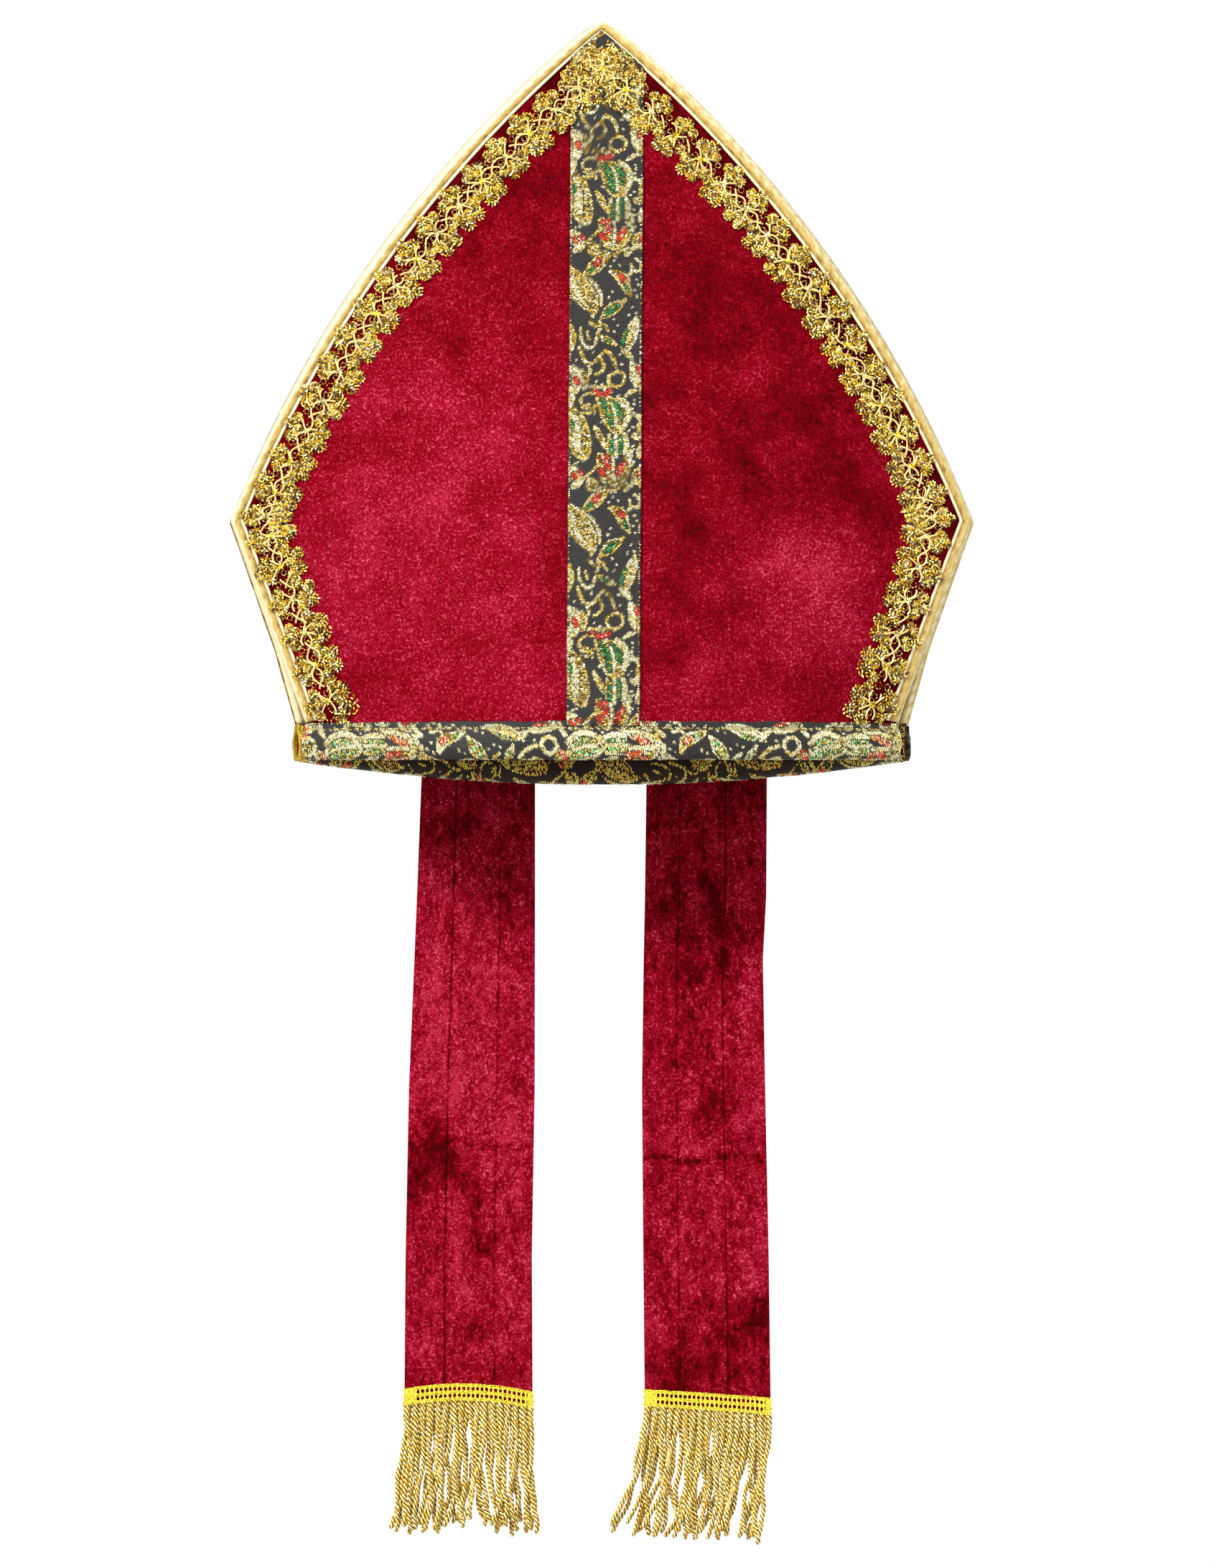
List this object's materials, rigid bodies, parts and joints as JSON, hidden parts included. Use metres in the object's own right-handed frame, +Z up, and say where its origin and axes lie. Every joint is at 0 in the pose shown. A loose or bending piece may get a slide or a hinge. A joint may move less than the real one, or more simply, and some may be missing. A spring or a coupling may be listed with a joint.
{
  "type": "bishop mitre",
  "caption": "Pointed ceremonial hat of stiffened velvet panels with bound edges, brocade band and upright ribbon, lace border and fringed lappets that hang behind.",
  "frame": {"origin": "middle of the head opening, level with the side ends of the rim, where a head carries the mitre", "axes": "+Z up to the tip, -Y to the front, +X to the right of the front view"},
  "size_m": [0.349, 0.091, 0.7094],
  "materials": {
    "panel_velvet": "crushed crimson velvet pile, off-white facing inside",
    "lappet_velvet": "crushed crimson velvet pile",
    "binding_satin": "gold satin",
    "band_brocade": "charcoal brocade with metallic gold, green and orange-red figures",
    "ribbon_brocade": "charcoal brocade with metallic gold, green and orange-red figures",
    "gold_lace": "metallic gold guipure lace",
    "header_crochet": "bright yellow crochet tape",
    "bullion_fringe": "twisted gold bullion cord"
  },
  "bodies": {
    "root": {"front_panel": "panel_velvet", "back_panel": "panel_velvet", "front_binding": "binding_satin", "back_binding": "binding_satin", "front_band": "band_brocade", "back_band": "band_brocade", "centre_ribbon": "ribbon_brocade", "left_lace": "gold_lace", "right_lace": "gold_lace", "left_lappet": "lappet_velvet", "right_lappet": "lappet_velvet", "left_fringe_header": "header_crochet", "right_fringe_header": "header_crochet", "left_fringe": "bullion_fringe", "right_fringe": "bullion_fringe"}
  },
  "joints": []
}
